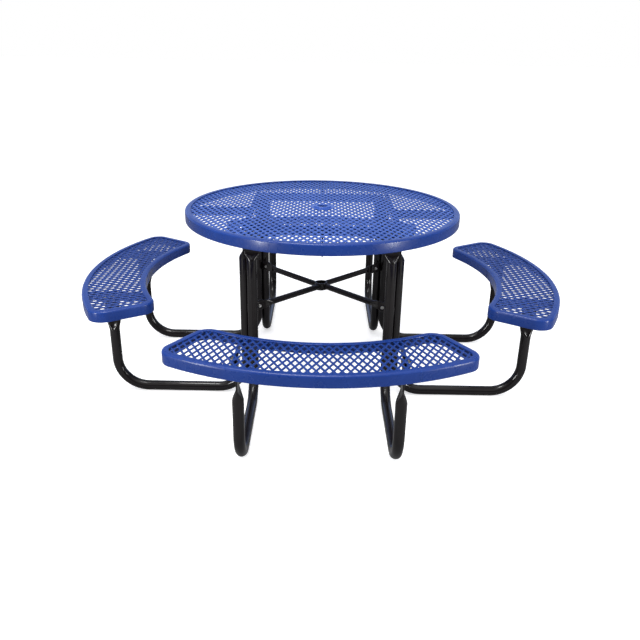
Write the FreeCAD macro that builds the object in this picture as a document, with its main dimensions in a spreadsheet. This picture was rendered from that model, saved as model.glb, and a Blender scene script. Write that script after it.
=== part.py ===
"""Round four-seat picnic table: coated mesh top and seats on eight bent steel tubes.

Frame: origin on the ground under the middle of the top, +Z up, millimetres. The four seats
face the middle along -Y (front), +X (right), +Y (rear) and -X (left). Everything repeats
every quarter turn, so each piece is drawn once for the front (-Y) seat and turned.
"""
import FreeCAD, Part
import math
import os
import Sketcher
from FreeCAD import Placement, Rotation, Vector

doc = FreeCAD.newDocument("picnic_table")
sheet = doc.addObject("Spreadsheet::Sheet", "dims")

DIMENSIONS = {
    # table top
    "top_radius": 584,
    "top_height": 755,
    # seats: rounded sectors of a ring around the table
    "seat_inner": 763,
    "seat_outer": 1020,
    "seat_half_angle": 33,
    "seat_corner": 60,
    "seat_height": 460,
    # rim: an angle section round every panel, its flat lip on top
    "rim_depth": 44,
    "rim_wall": 5,
    "rim_lip": 24,
    "lip_thickness": 4,
    "rim_round": 5,
    # flattened expanded mesh, coated
    "mesh_thickness": 5.2,
    "mesh_across": 27.5,
    "mesh_along": 54,
    "strand_width": 6.6,
    # umbrella hole plate
    "plate_radius": 53,
    "boss_radius": 38,
    "plate_bore": 22,
    "plate_rise": 2,
    "boss_rise": 9,
    # flat bars on edge under the panels
    "bar_depth": 38,
    "bar_thickness": 6,
    "square_half": 306,
    # bent tubes
    "tube_radius": 20.65,
    "tube_wall": 2.8,
    "bend_radius": 125,
    "tube_side": 278.5,
    "leg_radial": 312,
    "seat_radial": 863,
    "leg_round_top": 600,
    "leg_flat_start": 652,
    "leg_top": 744,
    "support_round_top": 280,
    "support_flat_start": 332,
    "support_top": 450,
    "flat_width": 60.4,
    "flat_thickness": 6,
    "drain_radius": 4,
    "drain_height": 570,
    # brace between the legs
    "brace_height": 394,
    "hub_radius": 27,
    "hub_bore": 22,
    "hub_depth": 32,
    "arm_radius": 12.7,
    "arm_wall": 2.2,
    "arm_round_end": 298,
    "arm_flat_start": 336,
    "arm_end": 392,
    "arm_flat_width": 37,
    "arm_flat_thickness": 5,
    "tab_inner": 345,
    "tab_outer": 424,
    "tab_depth": 44,
    "tab_thickness": 6,
    # bolts
    "frame_bolt": 5,
    "frame_hole": 5.25,
    "frame_bolt_spacing": 34,
    "brace_bolt": 4,
    "brace_hole": 4.25,
    "brace_bolt_radial": 368,
}
for row, (alias, value) in enumerate(DIMENSIONS.items(), start=1):
    sheet.set(f"A{row}", alias)
    sheet.set(f"B{row}", str(value))
    sheet.setAlias(f"B{row}", alias)
doc.recompute()

QUARTERS = {"front": 0, "right": 90, "rear": 180, "left": 270}
SIDES = {"a": -1, "b": 1}
Z_AXIS = Vector(0, 0, 1)
parts = []


def size(alias):
    """A driving dimension as a plain number."""
    return float(getattr(sheet, alias))


UNDER_TOP_Z = size("top_height") - size("lip_thickness") - size("mesh_thickness")
UNDER_SEAT_Z = size("seat_height") - size("lip_thickness") - size("mesh_thickness")


def bind(item, **expressions):
    """Tie properties to the sheet; a double underscore in a name stands for a dot."""
    for name, expression in expressions.items():
        item.setExpression(name.replace("__", "."), expression)


def quarter(angle):
    """The turn about the table's axis that carries the front seat to another one."""
    return Placement(Vector(0, 0, 0), Rotation(Z_AXIS, angle))


def keep(item, label):
    """Register a finished sub-part; its label names its file."""
    item.Label = label
    parts.append(item)
    return item


# --------------------------------------------------------------------- sketch helpers

def new_body(name):
    return doc.addObject("PartDesign::Body", name)


def plane_sketch(body, name, role, offset=0.0):
    """A sketch on one of the body's own origin planes, moved along the plane's normal."""
    sketch = body.newObject("Sketcher::SketchObject", name)
    plane = [item for item in body.Origin.OriginFeatures if item.Role == role][0]
    sketch.AttachmentSupport = [(plane, "")]
    sketch.MapMode = "FlatFace"
    sketch.AttachmentOffset = Placement(Vector(0, 0, offset), Rotation())
    return sketch


def driven(sketch, kind, *arguments, to):
    """Add a dimension constraint and tie its value to an expression on the sheet."""
    index = sketch.addConstraint(Sketcher.Constraint(kind, *arguments))
    sketch.setExpression(f"Constraints[{index}]", to)


def circle(sketch, x, y, radius, to):
    """A circle at a fixed place whose radius follows the sheet."""
    index = sketch.addGeometry(Part.Circle(Vector(x, y, 0), Z_AXIS, radius))
    driven(sketch, "Radius", index, radius, to=to)
    return index


def closed_outline(sketch, points):
    """Straight edges through the points, joined end to end."""
    count = len(points)
    for here, there in zip(points, points[1:] + points[:1]):
        sketch.addGeometry(Part.LineSegment(Vector(*here, 0), Vector(*there, 0)))
    for index in range(count):
        following = (index + 1) % count
        sketch.addConstraint(Sketcher.Constraint("Coincident", index, 2, following, 1))


def arc(centre, radius, start, end):
    """An arc of a circle, counter-clockwise between two angles in radians."""
    return Part.ArcOfCircle(Part.Circle(Vector(*centre, 0), Z_AXIS, radius), start, end)


def round_section(sketch, centre, radius, across_x):
    """A circle cut into four arcs that face the edges of a flattened section.

    across_x says that the flattened section is wide along the sketch's x axis."""
    crease = math.radians(8)
    turn = 0 if across_x else math.pi / 2
    limits = [math.pi / 2 - crease, math.pi / 2 + crease,
              3 * math.pi / 2 - crease, 3 * math.pi / 2 + crease]
    for index in range(4):
        start = limits[index] + turn
        end = limits[(index + 1) % 4] + turn
        if end < start:
            end += 2 * math.pi
        sketch.addGeometry(arc(centre, radius, start, end))


def flat_section(sketch, centre, width, thickness, across_x):
    """The squashed end of a tube: two long flats and two half-round edges."""
    half = (width - thickness) / 2
    edge = thickness / 2
    corners = [(half, edge), (-half, edge), (-half, -edge), (half, -edge)]
    ends = [(-half, 0), (half, 0)]
    turn = 0 if across_x else math.pi / 2
    if not across_x:
        corners = [(-y, x) for x, y in corners]
        ends = [(-y, x) for x, y in ends]
    corners = [Vector(centre[0] + x, centre[1] + y, 0) for x, y in corners]
    ends = [(centre[0] + x, centre[1] + y) for x, y in ends]
    sketch.addGeometry(Part.LineSegment(corners[0], corners[1]))
    sketch.addGeometry(arc(ends[0], edge, math.pi / 2 + turn, 3 * math.pi / 2 + turn))
    sketch.addGeometry(Part.LineSegment(corners[2], corners[3]))
    sketch.addGeometry(arc(ends[1], edge, 3 * math.pi / 2 + turn, 5 * math.pi / 2 + turn))


def pad(body, name, sketch, length, midplane=False):
    feature = body.newObject("PartDesign::Pad", name)
    feature.Profile = sketch
    feature.Midplane = midplane
    bind(feature, Length=length)
    return feature


def pocket(body, name, sketch, length, midplane=False, reverse=False):
    feature = body.newObject("PartDesign::Pocket", name)
    feature.Profile = sketch
    feature.Midplane = midplane
    feature.Reversed = reverse
    bind(feature, Length=length)
    return feature


def revolve(body, name, sketch):
    """A full turn of a profile about the sketch's vertical axis."""
    feature = body.newObject("PartDesign::Revolution", name)
    feature.Profile = sketch
    feature.ReferenceAxis = (sketch, ["V_Axis"])
    feature.Angle = 360
    return feature


def check_loses(body, feature, before):
    """Stop if a cutting feature took nothing away."""
    doc.recompute()
    if not feature.Shape.Volume < before - 1:
        raise RuntimeError(f"{body.Name}: {feature.Name} cut nothing")


# ------------------------------------------------------------------------ table top

def make_top_rim():
    """Angle section turned round the table: an upright wall with a lip on top."""
    body = new_body("top_rim_body")
    sketch = plane_sketch(body, "top_rim_section", "XZ_Plane")
    outer = size("top_radius")
    inner = outer - size("rim_wall")
    lip = outer - size("rim_lip")
    high = size("top_height")
    under = high - size("lip_thickness")
    low = high - size("rim_depth")
    closed_outline(sketch, [(outer, low), (outer, high), (lip, high),
                            (lip, under), (inner, under), (inner, low)])
    for index in (0, 2, 4):
        sketch.addConstraint(Sketcher.Constraint("Vertical", index))
    for index in (1, 3, 5):
        sketch.addConstraint(Sketcher.Constraint("Horizontal", index))
    driven(sketch, "DistanceX", -1, 1, 0, 2, outer, to="dims.top_radius")
    driven(sketch, "DistanceY", -1, 1, 0, 2, high, to="dims.top_height")
    driven(sketch, "DistanceY", -1, 1, 0, 1, low, to="dims.top_height - dims.rim_depth")
    driven(sketch, "DistanceX", -1, 1, 1, 2, lip, to="dims.top_radius - dims.rim_lip")
    driven(sketch, "DistanceY", -1, 1, 3, 1, under, to="dims.top_height - dims.lip_thickness")
    driven(sketch, "DistanceX", -1, 1, 4, 2, inner, to="dims.top_radius - dims.rim_wall")
    ring = revolve(body, "top_rim_turn", sketch)
    doc.recompute()
    rounded = body.newObject("PartDesign::Fillet", "top_rim_round")
    rounded.Base = (ring, edges_at(ring.Shape, outer, high))
    bind(rounded, Radius="dims.rim_round")
    doc.recompute()
    keep(body, "top_rim")


def edges_at(shape, radius, height):
    """Names of the circular edges of a turned shape at a radius and height."""
    names = []
    for index, edge in enumerate(shape.Edges, start=1):
        point = edge.Vertexes[0].Point
        if abs(math.hypot(point.x, point.y) - radius) < 0.01 and abs(point.z - height) < 0.01:
            if isinstance(edge.Curve, Part.Circle):
                names.append(f"Edge{index}")
    return names


def make_umbrella_plate():
    """Flanged ring let into the middle of the top, with a raised boss round its hole."""
    body = new_body("umbrella_plate_body")
    sketch = plane_sketch(body, "umbrella_plate_section", "XZ_Plane")
    base = size("top_height") - size("lip_thickness")
    flange = base + size("plate_rise")
    crown = base + size("boss_rise")
    bore = size("plate_bore")
    boss = size("boss_radius")
    rim = size("plate_radius")
    closed_outline(sketch, [(bore, base), (rim, base), (rim, flange),
                            (boss, flange), (boss, crown), (bore, crown)])
    for index in (0, 2, 4):
        sketch.addConstraint(Sketcher.Constraint("Horizontal", index))
    for index in (1, 3, 5):
        sketch.addConstraint(Sketcher.Constraint("Vertical", index))
    driven(sketch, "DistanceX", -1, 1, 0, 1, bore, to="dims.plate_bore")
    driven(sketch, "DistanceY", -1, 1, 0, 1, base, to="dims.top_height - dims.lip_thickness")
    driven(sketch, "DistanceX", -1, 1, 0, 2, rim, to="dims.plate_radius")
    driven(sketch, "DistanceY", 0, 2, 1, 2, flange - base, to="dims.plate_rise")
    driven(sketch, "DistanceX", -1, 1, 3, 1, boss, to="dims.boss_radius")
    driven(sketch, "DistanceY", 0, 1, 4, 2, crown - base, to="dims.boss_rise")
    turned = revolve(body, "umbrella_plate_turn", sketch)
    doc.recompute()
    rounded = body.newObject("PartDesign::Fillet", "umbrella_plate_round")
    rounded.Base = (turned, edges_at(turned.Shape, boss, crown) + edges_at(turned.Shape, bore, crown))
    bind(rounded, Radius="dims.rim_round")
    doc.recompute()
    keep(body, "umbrella_plate")


# ----------------------------------------------------------------------------- mesh

def diamond_wire(x, y, half_across, half_along, height):
    """One opening of the mesh, long along y."""
    corners = [Vector(x + half_across, y, height), Vector(x, y + half_along, height),
               Vector(x - half_across, y, height), Vector(x, y - half_along, height)]
    return Part.makePolygon(corners + corners[:1])


def mesh_panel(outline, is_open, height):
    """A sheet with the outline given, pierced by every diamond that is_open accepts."""
    across = size("mesh_across") / 2
    along = size("mesh_along") / 2
    strand = size("strand_width") / 2
    centre_to_side = across * along / math.hypot(across, along)
    shrink = 1 - strand / centre_to_side
    box = outline.BoundBox
    columns = range(math.floor(box.XMin / across), math.ceil(box.XMax / across) + 1)
    rows = range(math.floor(box.YMin / along), math.ceil(box.YMax / along) + 1)
    openings = []
    for column in columns:
        for row in rows:
            x = column * across
            y = row * along
            tips = [(x + across, y), (x - across, y), (x, y + along), (x, y - along)]
            if (column + row) % 2 == 0 and all(is_open(*tip) for tip in tips):
                openings.append(diamond_wire(x, y, across * shrink, along * shrink, height))
    face = Part.Face(outline)
    face.cutHoles(openings)
    face.validate()
    return face.extrude(Vector(0, 0, size("mesh_thickness")))


def make_top_mesh():
    height = UNDER_TOP_Z
    edge = size("top_radius") - size("rim_wall")
    clear = size("top_radius") - size("rim_lip") + size("strand_width")
    plate = size("plate_radius") - size("strand_width")
    outline = Part.Wire(Part.makeCircle(edge, Vector(0, 0, height)))

    def is_open(x, y):
        return plate < math.hypot(x, y) < clear

    panel = doc.addObject("Part::Feature", "top_mesh")
    disc = mesh_panel(outline, is_open, height)
    middle = Part.makeCylinder(size("plate_bore"), size("mesh_thickness"), Vector(0, 0, height))
    panel.Shape = disc.cut(middle)
    keep(panel, "top_mesh")


# ---------------------------------------------------------------------------- seats

def seat_corners(inset):
    """Arc centres and end angles of the seat outline, drawn in by inset.

    The seat is symmetric about -Y. Returned for its +X half: the outer and inner radii,
    the corner radius, and the centres of the outer and inner corner arcs."""
    half = math.radians(size("seat_half_angle"))
    outer = size("seat_outer") - inset
    inner = size("seat_inner") + inset
    corner = size("seat_corner") - inset
    # unit vectors along the straight end (outwards) and across it (towards the seat's middle)
    along = Vector(math.sin(half), -math.cos(half), 0)
    inwards = Vector(-math.cos(half), -math.sin(half), 0)
    reach = inset + corner
    outer_run = math.sqrt((outer - corner) ** 2 - reach ** 2)
    inner_run = math.sqrt((inner + corner) ** 2 - reach ** 2)
    outer_centre = along * outer_run + inwards * reach
    inner_centre = along * inner_run + inwards * reach
    return outer, inner, corner, outer_centre, inner_centre, inwards


def seat_edges(inset):
    """The closed seat outline as arcs and lines, counter-clockwise from the outer arc."""
    outer, inner, corner, far, near, inwards = seat_corners(inset)
    end_angle = math.atan2(-inwards.y, -inwards.x)
    far_angle = math.atan2(far.y, far.x)
    near_angle = math.atan2(near.y, near.x)
    mirror = -math.pi
    outwards = inwards * -corner
    edges = [arc((0, 0), outer, mirror - far_angle, far_angle)]
    edges.append(arc((far.x, far.y), corner, far_angle, end_angle))
    edges.append(Part.LineSegment(far + outwards, near + outwards))
    edges.append(arc((near.x, near.y), corner, end_angle, near_angle + math.pi))
    edges.append(arc((0, 0), inner, mirror - near_angle, near_angle))
    edges.append(arc((-near.x, near.y), corner, -near_angle, mirror - end_angle + 2 * math.pi))
    left_near = Vector(-(near + outwards).x, (near + outwards).y, 0)
    left_far = Vector(-(far + outwards).x, (far + outwards).y, 0)
    edges.append(Part.LineSegment(left_near, left_far))
    edges.append(arc((-far.x, far.y), corner, mirror - end_angle, mirror - far_angle))
    return edges


def seat_sketch(body, name, inset, offset, inset_expression):
    """The seat outline as a sketch whose radii follow the sheet."""
    sketch = plane_sketch(body, name, "XY_Plane", offset)
    for edge in seat_edges(inset):
        sketch.addGeometry(edge)
    joints = [(0, 2, 1, 1), (1, 2, 2, 1), (2, 2, 3, 1), (3, 2, 4, 2),
              (4, 1, 5, 1), (5, 2, 6, 1), (6, 2, 7, 1), (7, 2, 0, 1)]
    for first, first_end, second, second_end in joints:
        sketch.addConstraint(Sketcher.Constraint("Tangent", first, first_end, second, second_end))
    outer, inner, corner = seat_corners(inset)[:3]
    sketch.addConstraint(Sketcher.Constraint("Coincident", 0, 3, -1, 1))
    sketch.addConstraint(Sketcher.Constraint("Coincident", 4, 3, -1, 1))
    driven(sketch, "Radius", 0, outer, to=f"dims.seat_outer - {inset_expression}")
    driven(sketch, "Radius", 4, inner, to=f"dims.seat_inner + {inset_expression}")
    driven(sketch, "Radius", 1, corner, to=f"dims.seat_corner - {inset_expression}")
    for index in (3, 5, 7):
        sketch.addConstraint(Sketcher.Constraint("Equal", 1, index))
    return sketch


def make_seat_rim():
    """The angle-section frame of one seat, drawn for the front seat."""
    body = new_body("seat_rim_body")
    high = size("seat_height")
    low = high - size("rim_depth")
    outline = seat_sketch(body, "seat_outline", 0, low, "0")
    block = pad(body, "seat_block", outline, "dims.rim_depth")
    doc.recompute()
    before = block.Shape.Volume
    under = seat_sketch(body, "seat_wall_inside", size("rim_wall"), low, "dims.rim_wall")
    recess = pocket(body, "seat_recess", under, "dims.rim_depth - dims.lip_thickness", reverse=True)
    check_loses(body, recess, before)
    before = recess.Shape.Volume
    mouth = seat_sketch(body, "seat_lip_inside", size("rim_lip"), high, "dims.rim_lip")
    opening = pocket(body, "seat_opening", mouth, "dims.lip_thickness * 2")
    check_loses(body, opening, before)
    rounded = body.newObject("PartDesign::Fillet", "seat_rim_round")
    rounded.Base = (opening, outer_top_edges(opening.Shape, high))
    bind(rounded, Radius="dims.rim_round")
    doc.recompute()
    return body


def outer_top_edges(shape, height):
    """Names of the edges along the outside of the top face."""
    names = []
    outside = [edge.BoundBox.Center for edge in seat_outline_wire(0, height).Edges]
    for index, edge in enumerate(shape.Edges, start=1):
        if any(edge.BoundBox.Center.distanceToPoint(centre) < 0.5 for centre in outside):
            names.append(f"Edge{index}")
    return names


def seat_outline_wire(inset, height):
    shapes = [edge.toShape() for edge in seat_edges(inset)]
    wire = Part.Wire(Part.__sortEdges__(shapes))
    wire.translate(Vector(0, 0, height))
    return wire


def make_seat_mesh():
    height = UNDER_SEAT_Z
    outline = seat_outline_wire(size("rim_wall"), height)
    margin = size("rim_lip") - size("strand_width")
    clear = Part.Face(seat_outline_wire(margin, height))

    def is_open(x, y):
        return clear.isInside(Vector(x, y, height), 0.01, True)

    panel = doc.addObject("Part::Feature", "seat_mesh_master")
    panel.Shape = mesh_panel(outline, is_open, height)
    return panel


# ------------------------------------------------------------------------ flat bars

def flat_bar(name, length, start, along_y, top):
    """A flat bar on edge, bound to the sheet; its length and start are expressions."""
    bar = doc.addObject("Part::Box", name)
    across = "-dims.bar_thickness / 2"
    if along_y:
        bind(bar, Length="dims.bar_thickness", Width=length, Height="dims.bar_depth")
        bind(bar, Placement__Base__x=across, Placement__Base__y=start)
    else:
        bind(bar, Length=length, Width="dims.bar_thickness", Height="dims.bar_depth")
        bind(bar, Placement__Base__x=start, Placement__Base__y=across)
    bind(bar, Placement__Base__z=f"{top} - dims.bar_depth")
    return bar


def drill(bar, name, holes, rotation):
    """Cut round holes through a bar. Each hole is a tuple of three expressions."""
    drills = []
    for index, (x, y, z) in enumerate(holes):
        tool = doc.addObject("Part::Cylinder", f"{name}_drill_{index}")
        bind(tool, Radius="dims.frame_hole", Height="dims.bar_thickness * 4")
        tool.Placement = Placement(Vector(0, 0, 0), rotation)
        bind(tool, Placement__Base__x=x, Placement__Base__y=y, Placement__Base__z=z)
        drills.append(tool)
    tools = doc.addObject("Part::Compound", f"{name}_drills")
    tools.Links = drills
    cut = doc.addObject("Part::Cut", name)
    cut.Base = bar
    cut.Tool = tools
    doc.recompute()
    if not cut.Shape.Volume < bar.Shape.Volume - 1:
        raise RuntimeError(f"{name}: the drills cut nothing")
    return cut


UNDER_TOP = "(dims.top_height - dims.lip_thickness - dims.mesh_thickness)"
UNDER_SEAT = "(dims.seat_height - dims.lip_thickness - dims.mesh_thickness)"


def make_square_bar():
    """Front bar of the square under the top, drilled for the two front legs."""
    length = "dims.square_half * 2"
    bar = flat_bar("square_bar_blank", length, "-dims.square_half - dims.bar_thickness / 2",
                   False, UNDER_TOP)
    bind(bar, Placement__Base__y="-dims.square_half - dims.bar_thickness / 2")
    holes = []
    for side in ("-dims.tube_side", "dims.tube_side"):
        for shift in ("- dims.frame_bolt_spacing / 2", "+ dims.frame_bolt_spacing / 2"):
            holes.append((f"{side} {shift}", "-dims.square_half + dims.bar_thickness * 2",
                          f"{UNDER_TOP} - dims.bar_depth / 2"))
    return drill(bar, "square_bar_master", holes, Rotation(Vector(1, 0, 0), 90))


def make_radial_bar():
    """Front bar from the middle of the square out to the rim's wall."""
    bar = flat_bar("radial_bar_master",
                   "dims.top_radius - dims.rim_wall - dims.square_half - dims.bar_thickness / 2 - 0.1",
                   "-dims.top_radius + dims.rim_wall + 0.1", True, UNDER_TOP)
    return bar


def make_seat_bar(side):
    """Bar across one side of the front seat, drilled for its tube."""
    sign = "-" if side < 0 else ""
    line = f"{sign}(dims.tube_side + dims.flat_thickness / 2 + dims.bar_thickness / 2)"
    name = "seat_bar_a" if side < 0 else "seat_bar_b"
    offset = size("tube_side") + size("flat_thickness") / 2
    inner = size("seat_inner") + size("rim_wall")
    outer = size("seat_outer") - size("rim_wall")
    near = math.sqrt(inner ** 2 - offset ** 2)
    far = math.sqrt(outer ** 2 - (offset + size("bar_thickness")) ** 2)
    bar = flat_bar(f"{name}_blank", f"{far - near:.3f}", f"-{far:.3f}", True, UNDER_SEAT)
    bind(bar, Placement__Base__x=f"{line} - dims.bar_thickness / 2")
    holes = []
    for shift in ("- dims.frame_bolt_spacing / 2", "+ dims.frame_bolt_spacing / 2"):
        holes.append((f"{line} - dims.bar_thickness * 2", f"-dims.seat_radial {shift}",
                      f"{UNDER_SEAT} - dims.bar_depth / 2"))
    return drill(bar, f"{name}_master", holes, Rotation(Vector(0, 1, 0), 90))


# ------------------------------------------------------------------------ bent tubes

def make_tube():
    """One bent tube in its own plane: leg at x = 0, run along +x, seat support at the far end.

    Both ends are squashed flat: the leg's across the plane, the support's in the plane."""
    body = new_body("tube_body")
    radius = size("tube_radius")
    bend = size("bend_radius")
    span = size("seat_radial") - size("leg_radial")
    low = radius
    leg_top = size("leg_round_top")
    support_top = size("support_round_top")

    path = plane_sketch(body, "tube_path", "XZ_Plane")
    path.addGeometry(Part.LineSegment(Vector(0, leg_top, 0), Vector(0, low + bend, 0)))
    path.addGeometry(arc((bend, low + bend), bend, math.pi, 1.5 * math.pi))
    path.addGeometry(Part.LineSegment(Vector(bend, low, 0), Vector(span - bend, low, 0)))
    path.addGeometry(arc((span - bend, low + bend), bend, 1.5 * math.pi, 2 * math.pi))
    path.addGeometry(Part.LineSegment(Vector(span, low + bend, 0), Vector(span, support_top, 0)))
    for index in range(4):
        path.addConstraint(Sketcher.Constraint("Tangent", index, 2, index + 1, 1))
    path.addConstraint(Sketcher.Constraint("Vertical", 0))
    path.addConstraint(Sketcher.Constraint("PointOnObject", 0, 1, -2))
    path.addConstraint(Sketcher.Constraint("Horizontal", 2))
    path.addConstraint(Sketcher.Constraint("Vertical", 4))
    path.addConstraint(Sketcher.Constraint("Equal", 1, 3))
    driven(path, "Radius", 1, bend, to="dims.bend_radius")
    driven(path, "DistanceY", -1, 1, 0, 1, leg_top, to="dims.leg_round_top")
    driven(path, "DistanceY", -1, 1, 2, 1, low, to="dims.tube_radius")
    driven(path, "DistanceX", -1, 1, 4, 2, span, to="dims.seat_radial - dims.leg_radial")
    driven(path, "DistanceY", -1, 1, 4, 2, support_top, to="dims.support_round_top")
    route = (path, [f"Edge{index}" for index in range(1, 6)])

    outside = plane_sketch(body, "tube_outside", "XY_Plane", leg_top)
    circle(outside, 0, 0, radius, "dims.tube_radius")
    pipe = body.newObject("PartDesign::AdditivePipe", "tube_pipe")
    pipe.Profile = outside
    pipe.Spine = route
    doc.recompute()
    before = pipe.Shape.Volume

    inside = plane_sketch(body, "tube_inside", "XY_Plane", leg_top)
    circle(inside, 0, 0, radius - size("tube_wall"), "dims.tube_radius - dims.tube_wall")
    bore = body.newObject("PartDesign::SubtractivePipe", "tube_bore")
    bore.Profile = inside
    bore.Spine = route
    check_loses(body, bore, before)

    ends = [("leg", 0, "leg_round_top", "leg_flat_start", "leg_top", False),
            ("support", span, "support_round_top", "support_flat_start", "support_top", True)]
    for name, x, round_top, flat_start, top, in_plane in ends:
        lower = plane_sketch(body, f"{name}_round", "XY_Plane", size(round_top))
        round_section(lower, (x, 0), radius, in_plane)
        upper = plane_sketch(body, f"{name}_flat", "XY_Plane", size(flat_start))
        flat_section(upper, (x, 0), size("flat_width"), size("flat_thickness"), in_plane)
        squash = body.newObject("PartDesign::AdditiveLoft", f"{name}_squash")
        squash.Profile = lower
        squash.Sections = [upper]
        squash.Ruled = True
        plate = plane_sketch(body, f"{name}_plate_outline", "XY_Plane", size(flat_start))
        flat_section(plate, (x, 0), size("flat_width"), size("flat_thickness"), in_plane)
        pad(body, f"{name}_plate", plate, f"dims.{top} - dims.{flat_start}")
    doc.recompute()

    spacing = size("frame_bolt_spacing") / 2
    leg_bolt = UNDER_TOP_Z - size("bar_depth") / 2
    seat_bolt = UNDER_SEAT_Z - size("bar_depth") / 2
    before = body.Shape.Volume
    leg_holes = plane_sketch(body, "leg_bolt_holes", "YZ_Plane")
    seat_holes = plane_sketch(body, "seat_bolt_holes", "XZ_Plane")
    for side in (-spacing, spacing):
        circle(leg_holes, side, leg_bolt, size("frame_hole"), "dims.frame_hole")
        circle(seat_holes, span + side, seat_bolt, size("frame_hole"), "dims.frame_hole")
    leg_cut = pocket(body, "leg_bolt_cut", leg_holes, "dims.flat_thickness * 3", midplane=True)
    check_loses(body, leg_cut, before)
    before = leg_cut.Shape.Volume
    seat_cut = pocket(body, "seat_bolt_cut", seat_holes, "dims.flat_thickness * 3", midplane=True)
    check_loses(body, seat_cut, before)
    before = seat_cut.Shape.Volume
    drain = plane_sketch(body, "drain_hole", "YZ_Plane")
    circle(drain, 0, size("drain_height"), size("drain_radius"), "dims.drain_radius")
    drained = pocket(body, "drain_cut", drain, "dims.tube_radius * 1.5")
    check_loses(body, drained, before)
    return body


# ----------------------------------------------------------------------------- brace

def make_arm():
    """One arm of the brace along +x, its outer end squashed upright and drilled."""
    body = new_body("arm_body")
    radius = size("arm_radius")
    start = size("hub_radius") - 2
    root = plane_sketch(body, "arm_root", "YZ_Plane", start)
    circle(root, 0, 0, radius, "dims.arm_radius")
    circle(root, 0, 0, radius - size("arm_wall"), "dims.arm_radius - dims.arm_wall")
    pad(body, "arm_tube", root, "dims.arm_round_end - dims.hub_radius + 2")
    lower = plane_sketch(body, "arm_round", "YZ_Plane", size("arm_round_end"))
    round_section(lower, (0, 0), radius, False)
    upper = plane_sketch(body, "arm_flat", "YZ_Plane", size("arm_flat_start"))
    flat_section(upper, (0, 0), size("arm_flat_width"), size("arm_flat_thickness"), False)
    squash = body.newObject("PartDesign::AdditiveLoft", "arm_squash")
    squash.Profile = lower
    squash.Sections = [upper]
    squash.Ruled = True
    plate = plane_sketch(body, "arm_plate_outline", "YZ_Plane", size("arm_flat_start"))
    flat_section(plate, (0, 0), size("arm_flat_width"), size("arm_flat_thickness"), False)
    pad(body, "arm_plate", plate, "dims.arm_end - dims.arm_flat_start")
    doc.recompute()
    before = body.Shape.Volume
    hole = plane_sketch(body, "arm_bolt_hole", "XZ_Plane")
    circle(hole, size("brace_bolt_radial"), 0, size("brace_hole"), "dims.brace_hole")
    drilled = pocket(body, "arm_bolt_cut", hole, "dims.arm_flat_thickness * 3", midplane=True)
    check_loses(body, drilled, before)
    before = drilled.Shape.Volume
    cope = plane_sketch(body, "arm_cope_circle", "XY_Plane")
    circle(cope, 0, 0, size("hub_radius"), "dims.hub_radius")
    coped = pocket(body, "arm_cope", cope, "dims.hub_depth * 2", midplane=True)
    check_loses(body, coped, before)
    return body


def make_hub():
    """Ring at the crossing of the arms that an umbrella pole passes through."""
    body = new_body("hub_body")
    sketch = plane_sketch(body, "hub_ring", "XY_Plane", size("brace_height"))
    circle(sketch, 0, 0, size("hub_radius"), "dims.hub_radius")
    circle(sketch, 0, 0, size("hub_bore"), "dims.hub_bore")
    pad(body, "hub_pad", sketch, "dims.hub_depth", midplane=True)
    doc.recompute()
    keep(body, "brace_hub_ring")


def make_tab():
    """Plate welded between the two legs of a corner, drawn along +x and drilled."""
    blank = doc.addObject("Part::Box", "tab_blank")
    bind(blank, Length="dims.tab_outer - dims.tab_inner", Width="dims.tab_thickness",
         Height="dims.tab_depth", Placement__Base__x="dims.tab_inner",
         Placement__Base__y="-dims.tab_thickness / 2", Placement__Base__z="-dims.tab_depth / 2")
    tool = doc.addObject("Part::Cylinder", "tab_drill")
    tool.Placement = Placement(Vector(0, 0, 0), Rotation(Vector(1, 0, 0), 90))
    bind(tool, Radius="dims.brace_hole", Height="dims.tab_thickness * 3",
         Placement__Base__x="dims.brace_bolt_radial", Placement__Base__y="dims.tab_thickness * 1.5")
    cut = doc.addObject("Part::Cut", "tab_master")
    cut.Base = blank
    cut.Tool = tool
    doc.recompute()
    return cut


# -------------------------------------------------------------------------- fasteners

HEX_CORNER = 2 / math.sqrt(3)


def hexagon(name, across, thickness):
    prism = doc.addObject("Part::Prism", name)
    prism.Polygon = 6
    bind(prism, Circumradius=f"{across} * {HEX_CORNER / 2:.6f}", Height=thickness)
    return prism


def make_bolt(name, shank, grip):
    """Hex bolt along -z with the underside of its head at z = 0."""
    head = hexagon(f"{name}_head", f"{shank} * 3.2", f"{shank} * 1.28")
    rod = doc.addObject("Part::Cylinder", f"{name}_rod")
    bind(rod, Radius=shank, Height=grip, Placement__Base__z=f"-({grip})")
    point = doc.addObject("Part::Chamfer", f"{name}_point")
    point.Base = rod
    doc.recompute()
    low = -rod.Height.Value
    rings = [index for index, edge in enumerate(rod.Shape.Edges, start=1)
             if edge.Closed and abs(edge.BoundBox.ZMin - low) < 0.01 and abs(edge.BoundBox.ZMax - low) < 0.01]
    point.Edges = [(index, 0.8, 0.8) for index in rings]
    bolt = doc.addObject("Part::MultiFuse", name)
    bolt.Shapes = [head, point]
    doc.recompute()
    return bolt


def make_nut(name, shank):
    """Hex nut that starts at z = 0 and stands along +z, with a clear hole for the shank."""
    blank = hexagon(f"{name}_blank", f"{shank} * 3.2", f"{shank} * 1.6")
    tool = doc.addObject("Part::Cylinder", f"{name}_hole")
    bind(tool, Radius=f"{shank} + 0.05", Height=f"{shank} * 1.6")
    cut = doc.addObject("Part::Cut", name)
    cut.Base = blank
    cut.Tool = tool
    return cut


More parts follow.
